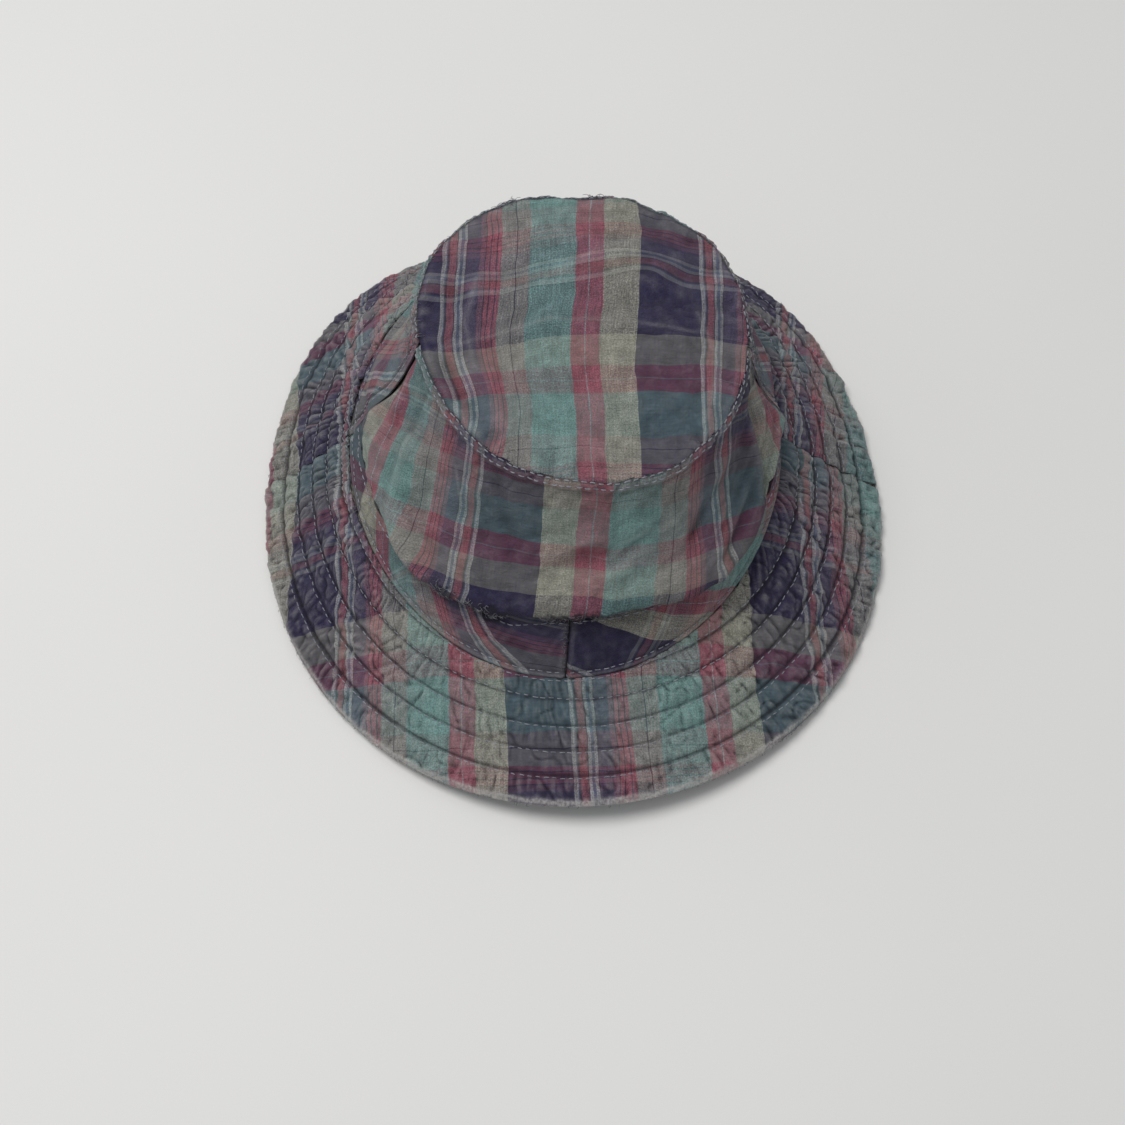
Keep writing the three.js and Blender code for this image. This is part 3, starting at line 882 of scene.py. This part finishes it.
def brim_face(node, start, end, side, seed, uv_of, amount=1.0, shift=0.0):
    """One half of the brim's face (side 1) or underside (side -1), quilted between its stitch rows.

    amount is how strongly it puckers, and shift how far its cloth is moved from the face's, in repeats.
    """
    middle = brim_middle(start, end, 560, 80)
    inward = middle.length - middle.down
    measured = 60  # the column along which distances round the brim are measured
    x = middle.around[:, measured:measured + 1] + 0 * inward
    rows = np.array([0.0] + BRIM_ROWS + [BRIM_DEPTH])
    band = np.clip(np.searchsorted(rows, inward, side="right") - 1, 0, len(rows) - 2)
    part = np.clip((inward - rows[band]) / (rows[band + 1] - rows[band]), 0, 1)
    puff = np.sin(np.pi * part) ** np.where(band == 0, 0.55, 0.75)
    sides = np.cos(np.radians(middle.angle)) ** 2
    strength = (0.42 + 0.55 * sides) * amount
    shifted = x + 0.5 * inward * noise(x / 30, inward / 40, seed + 5)
    pucker = folds(shifted / 5.6, inward / 12, seed) + 0.6 * noise(shifted / 2.8, inward / 6, seed + 8)
    pleats = folds(x / 3.6, inward / 9, seed + 11) * puff * np.where(band == 0, 0.48, 0.2)
    crumple = np.minimum(3.4 * np.abs(noise((x + 0.4 * inward) / 7, (inward - 0.3 * x) / 6, seed + 9)), 1)
    fine = noise((x - inward) / 3.4, (inward + x) / 3.8, seed + 10)
    height = 0.45 + BRIM_PUFF * puff * (0.42 + 0.66 * sides) + strength * (0.3 + 0.7 * puff) * pucker
    height += pleats * amount + (0.62 * crumple + 0.2 * fine) * (0.4 + 0.6 * puff)
    groove = 0.5 * sum(bell(inward, row, 0.5) for row in BRIM_ROWS[1:]) + bell(inward, BRIM_ROWS[0], 0.6)
    height = height - 0.3 * groove
    seam = np.minimum(x - x[:1], x[-1:] - x)
    height = np.maximum(height - 0.6 * bell(seam, 0, 0.9), 0.3)
    height = height * np.sqrt(smooth(inward / 1.8)) + 0.12
    raised = Surface(middle.points + side * middle.normals * height[..., None], middle.angle, middle.share)
    raised.normals = raised.normals * side
    wear, valley = wear_of(height, 2.0, 8)
    worn_edge = bell(inward, 0.9, 0.9) * (0.9 + 0.6 * noise(x / 4, inward, seed + 3))
    wear = 0.35 * wear * (inward > 1.5) + 1.3 * worn_edge
    # Painted shade along the brim's half seam and in the stitch rows' grooves.
    valley = valley * (inward > 1.5) + 0.2 * bell(seam, 0, 0.5) + (0.22 + 0.65 * sides) * groove
    uv = uv_of(middle) + shift
    if side < 0:
        raised = Surface(raised.points[::-1], raised.angle[::-1], raised.share[::-1])
        uv, wear, valley, height = uv[::-1], wear[::-1], valley[::-1], height[::-1]
    thick = np.minimum(BRIM_CLOTH, height - 0.08)
    cloth_piece(node + "_cloth", raised, uv, thick, brim_plaid, [node], wear, valley)
    return raised, middle


def brim_front_cloth(surface):
    across, down = cone_panel(surface, FRONT, BRIM_FRONT_CONE, surface.down)
    return np.stack([across / 113.2 - 0.008, 1.422 - (down + BRIM_FRONT_CONE[0]) / 115.9], -1)


def brim_back_cloth(surface):
    across, down = cone_panel(surface, BACK, BRIM_BACK_CONE, surface.down)
    return np.stack([0.025 - across / 112.5, 0.736 + (down + BRIM_BACK_CONE[0]) / 101.3], -1)


build_tip()
wall_front = build_wall_front()
wall_back = build_wall_back()
band_left = build_band("band_left", LEFT + SEAM_GAP, FRONT - BAND_GAP, left_band_cloth, 61,
                       "lower_band_left")
band_right = build_band("band_right", FRONT + BAND_GAP, RIGHT - SEAM_GAP, right_band_cloth, 71,
                        "lower_band_right")

front_half, back_half = (LEFT + BRIM_GAP, RIGHT - BRIM_GAP), (BRIM_GAP, LEFT - BRIM_GAP)
top_front, mid_front = brim_face("brim_top_front", *front_half, 1, 81, brim_front_cloth)
top_back, mid_back = brim_face("brim_top_back", *back_half, 1, 91, brim_back_cloth)
under_front, _ = brim_face("brim_under_front", *front_half, -1, 101, brim_front_cloth, 0.7, 0.31)
under_back, _ = brim_face("brim_under_back", *back_half, -1, 111, brim_back_cloth, 0.7, 0.43)


# ---- inside

RING = (BACK + RING_GAP, BACK + 360 - RING_GAP)  # a strip right round, its ends meeting at the centre back


def inner_piece(name, surface, thick, material, node):
    uv = np.stack([surface.around / REPEAT, surface.down / REPEAT], -1)
    cloth_piece(name, surface, uv, thick, material, [node])


def build_interlining():
    layer = brim_middle(*RING, 400, 30)
    inner_piece("brim_interlining_felt", layer.raised(0 * layer.share + 0.08), FELT, felt,
                "brim_interlining")


def build_sweatband():
    angle, share = grid(*RING, 360, 30)
    band = Surface(on_oval(levels_at(SWEATBAND, share), angle), angle, share)
    slack = 0.7 * noise(band.around / 21, band.down / 20, 121)
    slack = slack + 0.3 * noise(band.around / 7, band.down / 12, 122)
    inner_piece("sweatband_twill", band.raised(slack * smooth((1.0 - share) * 4)), CLOTH, twill,
                "sweatband")


def build_tape(name, node, start, end, around, across, first, last, inset):
    """Tape over a seam of the crown, on its inside, from one share of the way down to another."""
    tape = crown_surface(BACK_WALL, start, end, around, across, first, last)
    inner_piece(name, tape.raised(0 * tape.share - inset), TAPE, twill, node)


build_interlining()
build_sweatband()
build_tape("tip_tape", "tip_seam_tape", *RING, 360, 8, 0.02, 0.12, 2.0)
build_tape("base_tape", "base_seam_tape", *RING, 360, 8, 0.9, 0.98, 2.0)
build_tape("side_tape_right", "side_seam_tape_right", -4, 4, 12, 60, 0.15, 0.87, 3.6)
build_tape("side_tape_left", "side_seam_tape_left", LEFT - 4, LEFT + 4, 12, 60, 0.15, 0.87, 3.6)


# ---- stitching

def line_on(surface, angles, distance):
    """A line at a distance down a surface."""
    share = surface.share_down(angles, distance)
    return surface.at(angles, share)


def hem_line(surface, angles, distance):
    """A line at a distance up from a surface's lower edge."""
    return line_on(surface, angles, surface.length_at(angles) - distance)


def brim_rows(surface, middle):
    rows = []
    for distance in BRIM_ROWS:
        angles = np.linspace(middle.angle[0, 0], middle.angle[-1, 0], 500)
        length = middle.length_at(angles)
        inward = np.minimum(distance, length - 1.6)
        rows.append(surface.at(angles, 1 - inward / length))
    return rows


stitch_gap = 0.6  # degrees left without stitches at a seam's ends
front_angles = np.linspace(LEFT + stitch_gap, RIGHT - stitch_gap, 500)
back_angles = np.linspace(stitch_gap, LEFT - stitch_gap, 500)
left_angles = np.linspace(LEFT + stitch_gap, FRONT - stitch_gap, 300)
right_angles = np.linspace(FRONT + stitch_gap, RIGHT - stitch_gap, 300)
down_seam = np.linspace(0.03, 0.97, 200)

stitches("brim_stitches_front", brim_rows(top_front, mid_front))
stitches("brim_stitches_back", brim_rows(top_back, mid_back))
stitches("brim_stitches_under_front", brim_rows(under_front, mid_front))
stitches("brim_stitches_under_back", brim_rows(under_back, mid_back))
stitches("tip_seam_stitches", [
    line_on(wall, angles, depth)
    for wall, angles in ((wall_front, front_angles), (wall_back, back_angles))
    for depth in TIP_ROWS], THICK_THREAD)
stitches("base_stitches", [
    hem_line(band_left, left_angles, HEM_ROW), hem_line(band_right, right_angles, HEM_ROW),
    hem_line(wall_back, back_angles, BACK_HEM_ROW)])
stitches("tuck_stitches", [
    line_on(band_left, left_angles, HEM_ROW + 3.6 * angle_bell(left_angles, 254, 6)),
    line_on(band_right, right_angles, HEM_ROW)], TUCK_THREAD)
stitches("side_seam_stitches", [
    wall_back.at(0 * down_seam + angle, down_seam) for angle in (1.7, 4.4, 178.3, 175.6)])
frays("loose_threads", [
    (wall_front, (232, 253), (60, 68), 90, 2.8, 0.09), (wall_front, (262, 284), (56.5, 62), 60, 2.8, 0.09),
    (band_left, (233, 254), (0.2, 4), 70, 3.6, 0.09), (band_left, (264, 269.5), (0.2, 3), 30, 3.2, 0.1),
    (band_left, (268.6, 269.7), (3, 24), 40, 1.6, 0.08),
    (band_right, (270.5, 284), (0.2, 3), 40, 3.2, 0.09), (wall_back, (1, 12), (0.5, 34), 90, 5.0, 0.1),
    (wall_back, (166, 179), (0.5, 20), 40, 4.0, 0.1), (wall_front, (352, 359), (0.5, 18), 50, 4.0, 0.1),
    (wall_back, (112, 122), (0.2, 2), 20, 3.0, 0.1), (wall_back, (82, 88), (0.2, 2), 16, 3.0, 0.12),
    (wall_front, (182, 358), (0.1, 0.8), 90, 1.6, 0.07), (wall_back, (2, 178), (0.1, 0.8), 90, 1.6, 0.07),
    (top_front, (182, 358), (61, 66), 500, 1.3, 0.05), (top_back, (2, 178), (61, 66), 400, 1.3, 0.05)])


# ---- floor, light and camera

def build_floor():
    """A plain pale floor, very slightly mottled."""
    nodes = Nodes("floor")
    where = nodes.add("TexCoord").outputs["Object"]
    tone = nodes.range(nodes.noise(where, 3.0, 2.0), 0.3, 0.7, 0.0, 1.0)
    nodes.surface(nodes.mix(tone, srgb(226, 226, 224), srgb(229, 229, 228)), 0.6, Specular_IOR_Level=0.3)
    mesh = bpy.data.meshes.new("floor")
    corners = [(x * FLOOR_REACH, y * FLOOR_REACH, 0) for x, y in ((-1, -1), (1, -1), (1, 1), (-1, 1))]
    mesh.from_pydata(corners, [], [(0, 1, 2, 3)])
    mesh.materials.append(nodes.material)
    new_object("floor", mesh)


def build_light():
    """Soft light from all round and one broad lamp high on the left."""
    world = bpy.data.worlds.new("studio")
    world.use_nodes = True
    sky = world.node_tree.nodes["Background"]
    sky.inputs[0].default_value = (0.97, 0.98, 1.0, 1)
    sky.inputs[1].default_value = 0.43
    bpy.context.scene.world = world
    lamp = bpy.data.lights.new("overhead", "AREA")
    lamp.shape = "DISK"
    lamp.size = 1.0
    lamp.energy = 15.8
    lamp.color = (1.0, 0.985, 0.965)
    overhead = new_object("overhead", lamp)
    overhead.location = LAMP_AT
    overhead.rotation_euler = (-Vector(LAMP_AT)).to_track_quat("-Z", "Y").to_euler()


def build_camera():
    """A phone's main lens, close above the front of the hat and looking down at 60 degrees."""
    lens = bpy.data.cameras.new("camera")
    lens.lens = 48.4
    lens.sensor_width = 36
    lens.clip_start = 0.01
    camera = new_object("camera", lens)
    camera.location = CAMERA_AT
    camera.rotation_euler = (math.radians(CAMERA_TILT), 0, 0)
    bpy.context.scene.camera = camera


build_floor()
build_light()
build_camera()
bpy.context.scene.view_settings.view_transform = "Standard"
